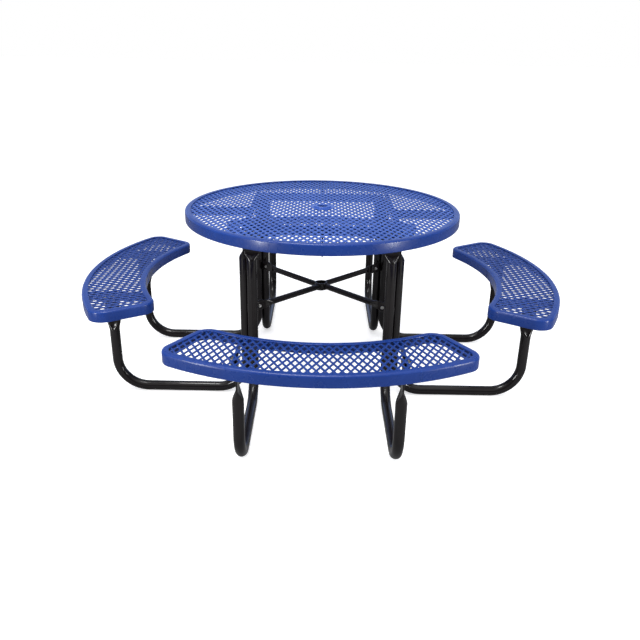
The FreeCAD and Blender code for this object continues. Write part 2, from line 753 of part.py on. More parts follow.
def make_washer(name, shank):
    """Plain washer that starts at z = 0 and stands along +z."""
    blank = doc.addObject("Part::Cylinder", f"{name}_blank")
    bind(blank, Radius=f"{shank} * 2", Height=f"{shank} * 0.3")
    tool = doc.addObject("Part::Cylinder", f"{name}_hole")
    bind(tool, Radius=f"{shank} + 0.25", Height=f"{shank} * 0.3")
    cut = doc.addObject("Part::Cut", name)
    cut.Base = blank
    cut.Tool = tool
    return cut


def copies(master, label, placements):
    """One node that holds a copy of the master at every placement, as separate solids."""
    links = []
    for index, placement in enumerate(placements):
        instance = doc.addObject("Part::Compound", f"{label}_{index}")
        instance.Links = [master]
        instance.Placement = placement
        links.append(instance)
    if len(links) == 1:
        return keep(links[0], label)
    group = doc.addObject("Part::Compound", label)
    group.Links = links
    return keep(group, label)


def aimed(point, direction):
    """A placement that carries the z axis onto a direction at a point."""
    return Placement(point, Rotation(Z_AXIS, direction))


# -------------------------------------------------------------------------- assembly

make_top_rim()
make_top_mesh()
make_umbrella_plate()

seat_rim = make_seat_rim()
seat_mesh = make_seat_mesh()
square_bar = make_square_bar()
radial_bar = make_radial_bar()
seat_bars = {name: make_seat_bar(side) for name, side in SIDES.items()}
tube = make_tube()
arm = make_arm()
tab = make_tab()
make_hub()

for seat, angle in QUARTERS.items():
    turn = quarter(angle)
    copies(square_bar, f"top_square_bar_{seat}", [turn])
    copies(radial_bar, f"top_radial_bar_{seat}", [turn])
    copies(seat_rim, f"seat_rim_{seat}", [turn])
    copies(seat_mesh, f"seat_mesh_{seat}", [turn])
    for name, side in SIDES.items():
        copies(seat_bars[name], f"seat_bar_{seat}_{name}", [turn])
        foot = Vector(side * size("tube_side"), -size("leg_radial"), 0)
        stand = Placement(foot, Rotation(Z_AXIS, -90))
        copies(tube, f"frame_tube_{seat}_{name}", [turn.multiply(stand)])

for seat, angle in QUARTERS.items():
    diagonal = Rotation(Z_AXIS, angle - 45)
    height = Vector(0, 0, size("brace_height"))
    corner = {"front": "front_right", "right": "rear_right", "rear": "rear_left", "left": "front_left"}[seat]
    copies(tab, f"leg_tab_{corner}", [Placement(height, diagonal)])
    beside = (size("arm_flat_thickness") + size("tab_thickness")) / 2
    aside = diagonal.multVec(Vector(0, beside, 0))
    copies(arm, f"brace_arm_{corner}", [Placement(height + aside, diagonal)])

frame_grip = "dims.flat_thickness + dims.bar_thickness + dims.frame_bolt * 3"
brace_grip = "dims.arm_flat_thickness + dims.tab_thickness + dims.brace_bolt * 3"
frame_bolt = make_bolt("frame_bolt_master", "dims.frame_bolt", frame_grip)
frame_nut = make_nut("frame_nut_master", "dims.frame_bolt")
frame_washer = make_washer("frame_washer_master", "dims.frame_bolt")
brace_bolt = make_bolt("brace_bolt_master", "dims.brace_bolt", brace_grip)
brace_nut = make_nut("brace_nut_master", "dims.brace_bolt")
doc.recompute()

washer_gap = size("frame_bolt") * 0.3
leg_places = {"bolt": [], "washer": [], "nut": []}
seat_places = {"bolt": [], "washer": [], "nut": []}
brace_places = {"bolt": [], "nut": []}
for angle in QUARTERS.values():
    turn = quarter(angle)
    for side in SIDES.values():
        for shift in (-size("frame_bolt_spacing") / 2, size("frame_bolt_spacing") / 2):
            outer_face = -size("leg_radial") - size("flat_thickness") / 2
            inner_face = -size("square_half") + size("bar_thickness") / 2
            x = side * size("tube_side") + shift
            z = UNDER_TOP_Z - size("bar_depth") / 2
            for kind, y, way in (("bolt", outer_face, -1), ("washer", inner_face, 1),
                                 ("nut", inner_face + washer_gap, 1)):
                spot = aimed(Vector(x, y, z), Vector(0, way, 0))
                leg_places[kind].append(turn.multiply(spot))
            tube_face = side * (size("tube_side") - size("flat_thickness") / 2)
            bar_face = side * (size("tube_side") + size("flat_thickness") / 2 + size("bar_thickness"))
            y = -size("seat_radial") + shift
            z = UNDER_SEAT_Z - size("bar_depth") / 2
            for kind, x, way in (("bolt", tube_face, -side), ("washer", bar_face, side),
                                 ("nut", bar_face + side * washer_gap, side)):
                spot = aimed(Vector(x, y, z), Vector(way, 0, 0))
                seat_places[kind].append(turn.multiply(spot))
    diagonal = Placement(Vector(0, 0, size("brace_height")), Rotation(Z_AXIS, angle - 45))
    arm_face = size("tab_thickness") / 2 + size("arm_flat_thickness")
    tab_face = -size("tab_thickness") / 2
    head = aimed(Vector(size("brace_bolt_radial"), arm_face, 0), Vector(0, 1, 0))
    nut = aimed(Vector(size("brace_bolt_radial"), tab_face, 0), Vector(0, -1, 0))
    brace_places["bolt"].append(diagonal.multiply(head))
    brace_places["nut"].append(diagonal.multiply(nut))

copies(frame_bolt, "leg_top_bolts", leg_places["bolt"])
copies(frame_washer, "leg_top_washers", leg_places["washer"])
copies(frame_nut, "leg_top_nuts", leg_places["nut"])
copies(frame_bolt, "seat_bolts", seat_places["bolt"])
copies(frame_washer, "seat_washers", seat_places["washer"])
copies(frame_nut, "seat_nuts", seat_places["nut"])
copies(brace_bolt, "brace_bolts", brace_places["bolt"])
copies(brace_nut, "brace_nuts", brace_places["nut"])
doc.recompute()

# ---------------------------------------------------------------------- check, write

for item in doc.Objects:
    if "Invalid" in item.State or "Error" in item.State:
        raise RuntimeError(f"{item.Name} failed: {item.State}")
os.makedirs("parts", exist_ok=True)
for item in parts:
    if item.Shape.isNull() or not item.Shape.isValid():
        raise RuntimeError(f"{item.Label} has a bad shape")
    item.Shape.exportStep(f"parts/{item.Label}.step")
print(f"{len(parts)} sub-parts written")
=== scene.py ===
"""Round four-seat picnic table: the visual model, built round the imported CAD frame.

Metres, +Z up, origin on the ground under the middle of the top. The seats face the middle
from -Y (front), +X (right), +Y (rear) and -X (left). A piece that repeats at every seat is
drawn once for the front seat and turned by quarter turns.
"""
import math
import bmesh
import bpy
import numpy as np
from mathutils import Matrix, Vector


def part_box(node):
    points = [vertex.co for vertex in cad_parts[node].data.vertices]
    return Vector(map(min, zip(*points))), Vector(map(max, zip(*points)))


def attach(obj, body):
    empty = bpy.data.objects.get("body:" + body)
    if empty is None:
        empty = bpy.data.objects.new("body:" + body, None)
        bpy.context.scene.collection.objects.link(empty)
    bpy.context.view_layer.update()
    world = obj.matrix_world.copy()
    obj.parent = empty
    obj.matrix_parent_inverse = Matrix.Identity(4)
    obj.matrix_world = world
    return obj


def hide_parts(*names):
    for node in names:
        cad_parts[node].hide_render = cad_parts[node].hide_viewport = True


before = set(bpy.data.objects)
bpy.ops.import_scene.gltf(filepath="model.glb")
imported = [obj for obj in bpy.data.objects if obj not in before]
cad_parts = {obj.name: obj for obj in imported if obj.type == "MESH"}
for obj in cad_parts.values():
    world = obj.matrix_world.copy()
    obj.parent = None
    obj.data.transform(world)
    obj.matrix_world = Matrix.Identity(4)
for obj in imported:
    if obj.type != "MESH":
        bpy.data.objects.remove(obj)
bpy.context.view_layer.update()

MM = 0.001
# quarter turns from the front seat, and from the front right pair of legs
QUARTERS = {"front": 0, "right": 1, "rear": 2, "left": 3}
CORNERS = {"front_right": 0, "rear_right": 1, "rear_left": 2, "front_left": 3}
SIDES = {"a": -1, "b": 1}


# ------------------------------------------------------------- places, read off the frame

def span(node):
    """The node's box as two plain arrays."""
    low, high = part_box(node)
    return np.array(low), np.array(high)


rim_low, rim_high = span("top_rim")
panel_low, panel_high = span("top_mesh")
plate_low, plate_high = span("umbrella_plate")
seat_rim_low, seat_rim_high = span("seat_rim_front")
seat_panel_low, seat_panel_high = span("seat_mesh_front")
square_low, square_high = span("top_square_bar_front")
radial_low, radial_high = span("top_radial_bar_front")
seat_bar_low, seat_bar_high = span("seat_bar_front_b")
tube_low, tube_high = span("frame_tube_front_b")
hub_low, hub_high = span("brace_hub_ring")

TOP_RADIUS = -rim_low[1]
TOP_Z = rim_high[2]
RIM_DEPTH = TOP_Z - rim_low[2]
RIM_WALL = TOP_RADIUS - panel_high[0]
LIP = 24 * MM
LIP_THICK = TOP_Z - panel_high[2]
PANEL_MID = (panel_low[2] + panel_high[2]) / 2
PANEL_HALF = (panel_high[2] - panel_low[2]) / 2

SEAT_OUTER = -seat_rim_low[1]
SEAT_INNER = 763 * MM
SEAT_HALF_ANGLE = math.radians(33.0)
SEAT_CORNER = 60 * MM
SEAT_Z = seat_rim_high[2]
SEAT_PANEL_MID = (seat_panel_low[2] + seat_panel_high[2]) / 2

TUBE_SIDE = (tube_low[0] + tube_high[0]) / 2
TUBE_R = 20.65 * MM
BEND_R = 125 * MM
FLAT_W = tube_high[0] - tube_low[0]
LEG_RADIAL = TUBE_R - tube_high[1]
SEAT_RADIAL = -tube_low[1] - FLAT_W / 2
LEG_ROUND_TOP = 606 * MM
LEG_FLAT = 641 * MM
SUPPORT_ROUND_TOP = 280 * MM
SUPPORT_FLAT = 332 * MM
LEG_TOP = tube_high[2]
SUPPORT_TOP = 450 * MM
FLAT_T = 6 * MM
# a squashed end narrows slightly over its last stretch
END_BEVEL = 0.8 * MM

BAR_T = square_high[1] - square_low[1]
SQUARE_HALF = -(square_low[1] + square_high[1]) / 2
# bolts by their shank's radius
FRAME_BOLT = 5 * MM
FRAME_SPACING = 34 * MM
FRAME_BOLT_LONG = 27 * MM
LEG_BOLT_Z = (square_low[2] + square_high[2]) / 2
SEAT_BOLT_Z = (seat_bar_low[2] + seat_bar_high[2]) / 2

BRACE_Z = (hub_low[2] + hub_high[2]) / 2
HUB_R = hub_high[0]
HUB_HALF = (hub_high[2] - hub_low[2]) / 2
HUB_BORE = 22 * MM
ARM_R = 12.7 * MM
ARM_ROUND_END = 298 * MM
ARM_FLAT = 336 * MM
ARM_END = 392 * MM
ARM_FLAT_W = 37 * MM
ARM_FLAT_T = 5 * MM
TAB_T = 6 * MM
TAB_IN, TAB_OUT, TAB_H = 345 * MM, 424 * MM, 44 * MM
BRACE_BOLT = 4 * MM
BRACE_BOLT_LONG = 23 * MM
BRACE_BOLT_R = 368 * MM

PLATE_BORE = 22 * MM
BOSS_R = 38 * MM
PLATE_FLANGE = 2 * MM
# the boss is drawn this much under the CAD plate's crown
BOSS_DROP = 1.2 * MM


# --------------------------------------------------------------------------- geometry

def add_piece(name, shape, material, node, sharp=40.0):
    """A finished piece from a Builder's points and faces. It rides on root in place of a CAD node."""
    mesh = bpy.data.meshes.new(name)
    mesh.from_pydata([tuple(point) for point in shape.verts], [], [tuple(face) for face in shape.faces])
    mesh.validate()
    sorted_out = bmesh.new()
    sorted_out.from_mesh(mesh)
    bmesh.ops.recalc_face_normals(sorted_out, faces=sorted_out.faces)
    sorted_out.to_mesh(mesh)
    sorted_out.free()
    mesh.shade_smooth()
    mesh.set_sharp_from_angle(angle=math.radians(sharp))
    mesh.materials.append(material)
    piece = bpy.data.objects.new(name, mesh)
    bpy.context.scene.collection.objects.link(piece)
    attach(piece, "root")
    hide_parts(node)


def grid_faces(rows, columns, close_rows, close_columns):
    """Quads over a grid of rows x columns points, wrapped where asked."""
    faces = []
    for r in range(rows if close_rows else rows - 1):
        r2 = (r + 1) % rows
        for c in range(columns if close_columns else columns - 1):
            c2 = (c + 1) % columns
            faces.append((r * columns + c, r2 * columns + c, r2 * columns + c2, r * columns + c2))
    return faces


class Builder:
    """Collects several shells into one mesh."""

    def __init__(self, verts=(), faces=()):
        self.verts = list(verts)
        self.faces = list(faces)

    def add(self, verts, faces):
        base = len(self.verts)
        self.verts.extend(np.asarray(verts, float))
        self.faces.extend(tuple(base + i for i in face) for face in faces)

    def rings(self, rings, close_rows=False, caps=True):
        """Rings of equal length, joined in order; each ring is a closed loop."""
        rings = np.asarray(rings, float)
        rows, columns = rings.shape[:2]
        faces = grid_faces(rows, columns, close_rows, True)
        if caps and not close_rows:
            faces.append(tuple(range(columns)))
            faces.append(tuple(reversed(range((rows - 1) * columns, rows * columns))))
        self.add(rings.reshape(-1, 3), faces)

    def transformed(self, matrix):
        """A copy moved by a 4x4 matrix."""
        matrix = np.array(matrix)
        return Builder(np.asarray(self.verts) @ matrix[:3, :3].T + matrix[:3, 3], self.faces)

    def merge(self, other):
        self.add(other.verts, other.faces)


def quarter(k):
    return Matrix.Rotation(k * math.pi / 2, 4, "Z")


def fillet_polygon(points, radii, steps):
    """A closed outline with each corner rounded to its radius."""
    points = [np.array(p, float) for p in points]
    out = []
    count = len(points)
    for i, corner in enumerate(points):
        before = points[i - 1] - corner
        after = points[(i + 1) % count] - corner
        before /= np.linalg.norm(before)
        after /= np.linalg.norm(after)
        radius = radii[i]
        if radius <= 0:
            out.append(corner)
            continue
        half = math.acos(np.clip(before @ after, -1, 1)) / 2
        reach = radius / math.tan(half)
        centre = corner + (before + after) / np.linalg.norm(before + after) * radius / math.sin(half)
        start = corner + before * reach - centre
        end = corner + after * reach - centre
        a0 = math.atan2(start[1], start[0])
        a1 = math.atan2(end[1], end[0])
        while a1 - a0 > math.pi:
            a1 -= 2 * math.pi
        while a1 - a0 < -math.pi:
            a1 += 2 * math.pi
        for s in range(steps + 1):
            a = a0 + (a1 - a0) * s / steps
            out.append(centre + radius * np.array([math.cos(a), math.sin(a)]))
    return np.array(out)


# a tube's section, in degrees: the points within CREASE of 0 and 180 become the squashed end's flats
CREASE = 7.5
# how deeply the flats dip half way along the squash
DENT = 0.22
QUADRANT_STEPS = (-7.5, -3.75, 0.0, 3.75, 7.5, 15.0, 22.5, 30.0, 37.5, 45.0, 52.5, 60.0, 67.5, 75.0)
SECTION_ANGLES = [90.0 * quadrant + step for quadrant in range(4) for step in QUADRANT_STEPS]


def flat_section(width, thickness):
    """The squashed section, wide along the second axis, one point for each section angle."""
    half = (width - thickness) / 2
    r = thickness / 2
    out = []
    for angle in SECTION_ANGLES:
        if abs(angle) <= CREASE:
            out.append((r, half * angle / CREASE))
        elif abs(angle - 180.0) <= CREASE:
            out.append((-r, -half * (angle - 180.0) / CREASE))
        else:
            side = 1.0 if angle < 180.0 else -1.0
            middle = 90.0 if angle < 180.0 else 270.0
            swing = math.radians((angle - middle) * 180.0 / (180.0 - 2.0 * CREASE))
            out.append((side * -r * math.sin(swing), side * (half + r * math.cos(swing))))
    return np.array(out)


def squash_rings(flat, radius, place, start, flat_start, end, steps=14):
    """Rings from a round section, at start, to a squashed one, from flat_start to end.

    place(height, x, y) gives the point in space.
    """
    rings = []
    radians = np.radians(SECTION_ANGLES)
    circle = np.stack([np.cos(radians), np.sin(radians)], 1) * radius
    on_face = np.abs((np.array(SECTION_ANGLES) + CREASE) % 180.0 - CREASE) < CREASE - 0.1
    for s in range(steps + 1):
        t = s / steps
        blend = t * t * (3 - 2 * t)
        section = circle * (1 - blend) + flat * blend
        section[on_face, 0] *= 1 - DENT * math.sin(math.pi * t) ** 2
        rings.append([place(start + (flat_start - start) * t, x, y) for x, y in section])
    shrunk = 1 - 0.7 * MM / np.abs(flat).max(0)
    middle = (flat_start + end) / 2
    for height, scale in ((middle, 1.0), (end - END_BEVEL, 1.0), (end, shrunk)):
        rings.append([place(height, x, y) for x, y in flat * scale])
    return rings


# radii of the weld beads
BAR_WELD = 2.2 * MM
SEAT_BAR_WELD = 2.0 * MM
TAB_WELD = 2.4 * MM
HUB_WELD = 2.3 * MM
RIM_WELD = 1.9 * MM


def bead(builder, path, radius, seed, closed=False, steps=10):
    """A weld bead along a path of points: a thick bead with ripples."""
    path = np.asarray(path, float)
    count = len(path)
    rings = []
    rng = np.random.default_rng(seed)
    wobble = rng.uniform(-1, 1, count)
    up_hint = np.array([0.0, 0.0, 1.0])
    for i, point in enumerate(path):
        ahead = path[(i + 1) % count] if closed or i < count - 1 else path[i]
        behind = path[i - 1] if closed or i > 0 else path[i]
        tangent = ahead - behind
        tangent /= np.linalg.norm(tangent)
        hint = up_hint if abs(tangent @ up_hint) < 0.9 else np.array([1.0, 0.0, 0.0])
        u = np.cross(tangent, hint)
        u /= np.linalg.norm(u)
        v = np.cross(u, tangent)
        ripple = radius * (1 + 0.10 * math.cos(i * 2.1) + 0.06 * wobble[i])
        if not closed and i in (0, count - 1):
            ripple *= 0.45
        rings.append([point + ripple * (math.cos(a) * u + math.sin(a) * v)
                      for a in np.linspace(0, 2 * math.pi, steps, endpoint=False)])
    builder.rings(rings, close_rows=closed)


def bar_solid(low, high, edge=1.4 * MM):
    """A flat bar that fills a box, its edges rounded, drawn along its longest side."""
    low, high = np.array(low, float), np.array(high, float)
    lengthwise = int(np.argmax(high - low))
    u, v = [axis for axis in range(3) if axis != lengthwise]
    corners = [(low[u], low[v]), (high[u], low[v]), (high[u], high[v]), (low[u], high[v])]
    middle = (low + high) / 2
    section = fillet_polygon(corners, [edge] * 4, 3)
    rings = []
    for at, shrink in ((low[lengthwise], 0.8 * MM), (low[lengthwise] + 0.8 * MM, 0.0),
                       (high[lengthwise] - 0.8 * MM, 0.0), (high[lengthwise], 0.8 * MM)):
        ring = []
        for x, y in section:
            scale = [1 - shrink / ((high[axis] - low[axis]) / 2) for axis in (u, v)]
            spot = [0.0, 0.0, 0.0]
            spot[lengthwise] = at
            spot[u] = middle[u] + (x - middle[u]) * scale[0]
            spot[v] = middle[v] + (y - middle[v]) * scale[1]
            ring.append(spot)
        rings.append(ring)
    builder = Builder()
    builder.rings(rings)
    return builder


def upright_bead(builder, x, y, low, high, radius, seed):
    """A weld bead that runs straight up."""
    count = max(4, int((high - low) / (1.6 * MM)))
    bead(builder, [(x, y, z) for z in np.linspace(low, high, count)], radius, seed)


HEX_POINTS = 24
# sizes of a fastener as multiples of its shank's radius
HEX_ACROSS = 3.2
HEAD_THICK = 1.28
NUT_THICK = 1.6
WASHER_THICK = 0.3
WASHER_R = 2.0
THREAD_PITCH = 0.3
# a head's corners fall by this much of how far they stand out
CHAMFER_SLOPE = 0.62


def hexagon_outline(across):
    """Angle and radius of points round a hexagon."""
    angles = np.arange(HEX_POINTS) * 2 * math.pi / HEX_POINTS
    radii = across / 2 / np.cos(angles % (math.pi / 3) - math.pi / 6)
    return angles, radii


def turned_ring(angles, radii, heights):
    """A ring of points round the z axis; radii and heights are arrays or single numbers."""
    return np.stack([radii * np.cos(angles), radii * np.sin(angles), heights + 0 * angles], 1)


def bolt_solid(shank, grip):
    """Hex bolt along -z: the underside of its chamfered head at z = 0, a thread on its shank."""
    across, thick = shank * HEX_ACROSS, shank * HEAD_THICK
    angles, radii = hexagon_outline(across)
    chamfer = thick - (radii - across / 2) * CHAMFER_SLOPE
    builder = Builder()
    builder.rings([turned_ring(angles, radii * 0.98, 0.0), turned_ring(angles, radii, 0.3 * MM),
                   turned_ring(angles, radii, chamfer - 0.15 * MM),
                   turned_ring(angles, across * 0.47, thick),
                   turned_ring(angles, across * 0.40, thick - 0.25 * MM)])
    pitch = shank * THREAD_PITCH
    rings = [turned_ring(angles, shank, 0.1 * MM)]
    plain = -grip * 0.25
    rings.append(turned_ring(angles, shank, plain))
    z = plain
    while z > -grip + pitch * 1.5:
        rings.append(turned_ring(angles, shank * 0.87, z - pitch * 0.5))
        rings.append(turned_ring(angles, shank, z - pitch))
        z -= pitch
    rings.append(turned_ring(angles, shank * 0.9, -grip + 0.4 * MM))
    rings.append(turned_ring(angles, shank * 0.72, -grip))
    builder.rings(rings)
    return builder


def nut_solid(shank):
    """Hex nut from z = 0 upwards, chamfered at both ends."""
    across, thick = shank * HEX_ACROSS, shank * NUT_THICK
    angles, radii = hexagon_outline(across)
    drop = (radii - across / 2) * CHAMFER_SLOPE
    builder = Builder()
    builder.rings([turned_ring(angles, shank * 1.12, 0.0), turned_ring(angles, across * 0.47, 0.0),
                   turned_ring(angles, radii, drop + 0.15 * MM),
                   turned_ring(angles, radii, thick - drop - 0.15 * MM),
                   turned_ring(angles, across * 0.47, thick), turned_ring(angles, shank * 1.12, thick),
                   turned_ring(angles, shank * 1.02, thick - 0.6 * MM),
                   turned_ring(angles, shank * 1.02, 0.6 * MM)], close_rows=True)
    return builder


def washer_solid(shank):
    """Flat washer from z = 0 upwards."""
    angles = np.linspace(0, 2 * math.pi, 28, endpoint=False)
    thick, outer, hole = shank * WASHER_THICK, shank * WASHER_R, shank + 0.25 * MM
    builder = Builder()
    builder.rings([turned_ring(angles, radius, height) for radius, height in (
        (hole, 0.0), (outer - 0.2 * MM, 0.0), (outer, 0.2 * MM),
        (outer, thick - 0.3 * MM), (outer - 0.3 * MM, thick), (hole, thick))], close_rows=True)
    return builder


def aimed(point, direction, spin=0.0):
    """A matrix that carries the z axis onto a direction at a point."""
    turn = Vector(direction).to_track_quat("Z", "X").to_matrix().to_4x4()
    return Matrix.Translation(point) @ turn @ Matrix.Rotation(spin, 4, "Z")


# --------------------------------------------------------------------------- materials

def new_material(name):
    material = bpy.data.materials.new(name)
    material.use_nodes = True
    tree = material.node_tree
    shader = tree.nodes["Principled BSDF"]
    return material, tree, shader


def link(tree, out, into):
    tree.links.new(out, into)


def noise(tree, scale, detail=3.0, roughness=0.55, stretch=None):
    """A noise texture in the object's own space; stretch squeezes it along an axis."""
    coordinates = tree.nodes.new("ShaderNodeTexCoord")
    texture = tree.nodes.new("ShaderNodeTexNoise")
    texture.inputs["Scale"].default_value = scale
    texture.inputs["Detail"].default_value = detail
    texture.inputs["Roughness"].default_value = roughness
    source = coordinates.outputs["Object"]
    if stretch:
        mapping = tree.nodes.new("ShaderNodeMapping")
        mapping.inputs["Scale"].default_value = stretch
        link(tree, source, mapping.inputs["Vector"])
        source = mapping.outputs["Vector"]
    link(tree, source, texture.inputs["Vector"])
    return texture.outputs["Fac"]


def ramp(tree, value, stops):
    """A colour ramp; each stop is (position, (r, g, b))."""
    node = tree.nodes.new("ShaderNodeValToRGB")
    elements = node.color_ramp.elements
    while len(elements) < len(stops):
        elements.new(0.5)
    for element, (position, colour) in zip(elements, stops):
        element.position = position
        element.color = (*colour, 1.0)
    link(tree, value, node.inputs["Fac"])
    return node.outputs["Color"]


def remap(tree, value, low, high, to_low, to_high):
    node = tree.nodes.new("ShaderNodeMapRange")
    for key, number in (("From Min", low), ("From Max", high), ("To Min", to_low), ("To Max", to_high)):
        node.inputs[key].default_value = number
    link(tree, value, node.inputs["Value"])
    return node.outputs["Result"]


def mix(tree, factor, first, second):
    """Blend of two colours; each is a socket or a plain colour."""
    node = tree.nodes.new("ShaderNodeMix")
    node.data_type = "RGBA"
    link(tree, factor, node.inputs["Factor"])
    for colour, key in ((first, 6), (second, 7)):
        if isinstance(colour, tuple):
            node.inputs[key].default_value = (*colour, 1.0)
        else:
            link(tree, colour, node.inputs[key])
    return node.outputs[2]


def bump(tree, height, strength, distance, normal=None):
    node = tree.nodes.new("ShaderNodeBump")
    node.inputs["Strength"].default_value = strength
    node.inputs["Distance"].default_value = distance
    link(tree, height, node.inputs["Height"])
    if normal is not None:
        link(tree, normal, node.inputs["Normal"])
    return node.outputs["Normal"]


def pointiness(tree):
    return tree.nodes.new("ShaderNodeNewGeometry").outputs["Pointiness"]


def coated_blue(name, gain):
    """Thick plastic coating: satin, faintly rippled, with a painted highlight that makes it a little paler
    on sharp convex edges.

    gain scales the red, green and blue of its shades.
    """
    material, tree, shader = new_material(name)
    shades = [(0.32, (0.008, 0.036, 0.215)), (0.52, (0.010, 0.042, 0.242)), (0.72, (0.013, 0.050, 0.270))]
    tone = ramp(tree, noise(tree, 4.5, 4.0),
                [(position, tuple(np.multiply(colour, gain))) for position, colour in shades])
    speck = remap(tree, noise(tree, 240.0, 2.0), 0.60, 0.78, 0.0, 0.35)
    tone = mix(tree, speck, tone, (0.022, 0.075, 0.33))
    # painted highlight: a paler blue on sharp convex edges such as the lip, where the edges would catch
    # the light
    painted_edge_highlight = remap(tree, pointiness(tree), 0.52, 0.62, 0.0, 0.30)
    tone = mix(tree, painted_edge_highlight, tone, (0.035, 0.10, 0.38))
    link(tree, tone, shader.inputs["Base Color"])
    link(tree, remap(tree, noise(tree, 28.0, 4.0), 0.3, 0.7, 0.22, 0.34), shader.inputs["Roughness"])
    wave = bump(tree, noise(tree, 60.0, 2.0), 0.06, 0.0012)
    peel = bump(tree, noise(tree, 420.0, 2.0), 0.07, 0.0004, wave)
    link(tree, peel, shader.inputs["Normal"])
    shader.inputs["Specular IOR Level"].default_value = 0.27
    shader.inputs["Coat Weight"].default_value = 0.03
    shader.inputs["Coat Roughness"].default_value = 0.18
    return material


def black_paint():
    """Gloss black powder coat on the tubes, with fine peel, faint scuffs and a painted highlight on sharp
    creases.
    """
    material, tree, shader = new_material("black_paint")
    tone = ramp(tree, noise(tree, 7.0, 4.0),
                [(0.3, (0.0034, 0.0024, 0.0029)), (0.7, (0.0058, 0.0044, 0.0050))])
    scuff = remap(tree, noise(tree, 90.0, 5.0, 0.7, (1.0, 1.0, 0.18)), 0.66, 0.80, 0.0, 0.5)
    tone = mix(tree, scuff, tone, (0.022, 0.020, 0.021))
    # painted highlight: a lighter grey on sharp convex creases and edges, such as the squashed ends' V
    # creases, where they would catch the light
    painted_edge_highlight = remap(tree, pointiness(tree), 0.54, 0.66, 0.0, 0.25)
    tone = mix(tree, painted_edge_highlight, tone, (0.030, 0.028, 0.029))
    link(tree, tone, shader.inputs["Base Color"])
    link(tree, remap(tree, noise(tree, 35.0, 4.0), 0.3, 0.7, 0.13, 0.22), shader.inputs["Roughness"])
    peel = bump(tree, noise(tree, 260.0, 2.0), 0.10, 0.0005)
    link(tree, peel, shader.inputs["Normal"])
    shader.inputs["Specular IOR Level"].default_value = 0.40
    return material


def zinc_plate():
    """Dull zinc on the fasteners: mottled grey with slight yellow passivation."""
    material, tree, shader = new_material("zinc_plate")
    tone = ramp(tree, noise(tree, 160.0, 4.0),
                [(0.35, (0.34, 0.34, 0.34)), (0.6, (0.44, 0.44, 0.43)), (0.75, (0.50, 0.48, 0.44))])
    link(tree, tone, shader.inputs["Base Color"])
    link(tree, remap(tree, noise(tree, 90.0, 3.0), 0.3, 0.7, 0.28, 0.46), shader.inputs["Roughness"])
    link(tree, bump(tree, noise(tree, 700.0, 2.0), 0.15, 0.0003), shader.inputs["Normal"])
    shader.inputs["Metallic"].default_value = 1.0
    return material


BLUE = coated_blue("coated_blue", (0.82, 0.79, 0.77))
# painted reflection: a paler copy of the blue for the top's thin strands and the umbrella plate, standing
# in for the light from behind that they reflect at grazing angles
TOP_BLUE_PAINTED_REFLECTION = coated_blue("coated_blue_top_painted_reflection", (2.5, 1.70, 1.32))
BLACK = black_paint()
ZINC = zinc_plate()


# ------------------------------------------------------------------------ seat outline

ARC_STEP = 7 * MM
CORNER_STEP = 3.5 * MM


def seat_outline():
    """The front seat's outline: points and outward normals, counter-clockwise."""
    beta = SEAT_HALF_ANGLE
    corner = SEAT_CORNER
    along = np.array([math.sin(beta), -math.cos(beta)])
    inwards = np.array([-math.cos(beta), -math.sin(beta)])
    outer_run = math.sqrt((SEAT_OUTER - corner) ** 2 - corner ** 2)
    inner_run = math.sqrt((SEAT_INNER + corner) ** 2 - corner ** 2)
    far = along * outer_run + inwards * corner
    near = along * inner_run + inwards * corner
    far_angle = math.atan2(far[1], far[0])
    near_angle = math.atan2(near[1], near[0])
    end_angle = math.atan2(-inwards[1], -inwards[0])
    points = []
    normals = []

    def arc(centre, radius, a0, a1, step, sign):
        count = max(2, int(abs(a1 - a0) * radius / step))
        for i in range(count):
            a = a0 + (a1 - a0) * i / count
            direction = np.array([math.cos(a), math.sin(a)])
            points.append(np.array(centre) + radius * direction)
            normals.append(direction * sign)

    def line(p0, p1, normal, count=8):
        for i in range(count):
            points.append(p0 + (p1 - p0) * i / count)
            normals.append(normal)

    flip = np.array([-1.0, 1.0])
    arc((0, 0), SEAT_OUTER, -math.pi - far_angle, far_angle, ARC_STEP, 1)
    arc(far, corner, far_angle, end_angle, CORNER_STEP, 1)
    line(far - inwards * corner, near - inwards * corner, -inwards)
    arc(near, corner, end_angle, near_angle + math.pi, CORNER_STEP, 1)
    arc((0, 0), SEAT_INNER, near_angle, -math.pi - near_angle, ARC_STEP, -1)
    arc(near * flip, corner, -near_angle, math.pi - end_angle, CORNER_STEP, 1)
    line((near - inwards * corner) * flip, (far - inwards * corner) * flip, -inwards * flip)
    arc(far * flip, corner, -math.pi - end_angle, -math.pi - far_angle, CORNER_STEP, 1)
    return np.array(points), np.array(normals)


# the rounding of the rim's outer top edge
ROLL = 8.5 * MM


def rim_profile():
    """The rim's section: (inwards from the outer face, down from the top)."""
    return fillet_polygon(
        [(0, -RIM_DEPTH), (0, 0), (LIP, 0), (LIP, -LIP_THICK),
         (RIM_WALL, -LIP_THICK), (RIM_WALL, -RIM_DEPTH)],
        [2.0 * MM, ROLL, 1.8 * MM, 1.2 * MM, 3.0 * MM, 2.0 * MM], 6)


def swept_rim(points, normals, top):
    """The rim's section carried round an outline."""
    profile = rim_profile()
    rings = []
    for point, normal in zip(points, normals):
        ring = []
        for inward, down in profile:
            spot = point - normal * inward
            ring.append((spot[0], spot[1], top + down))
        rings.append(ring)
    builder = Builder()
    builder.rings(rings, close_rows=True)
    return builder


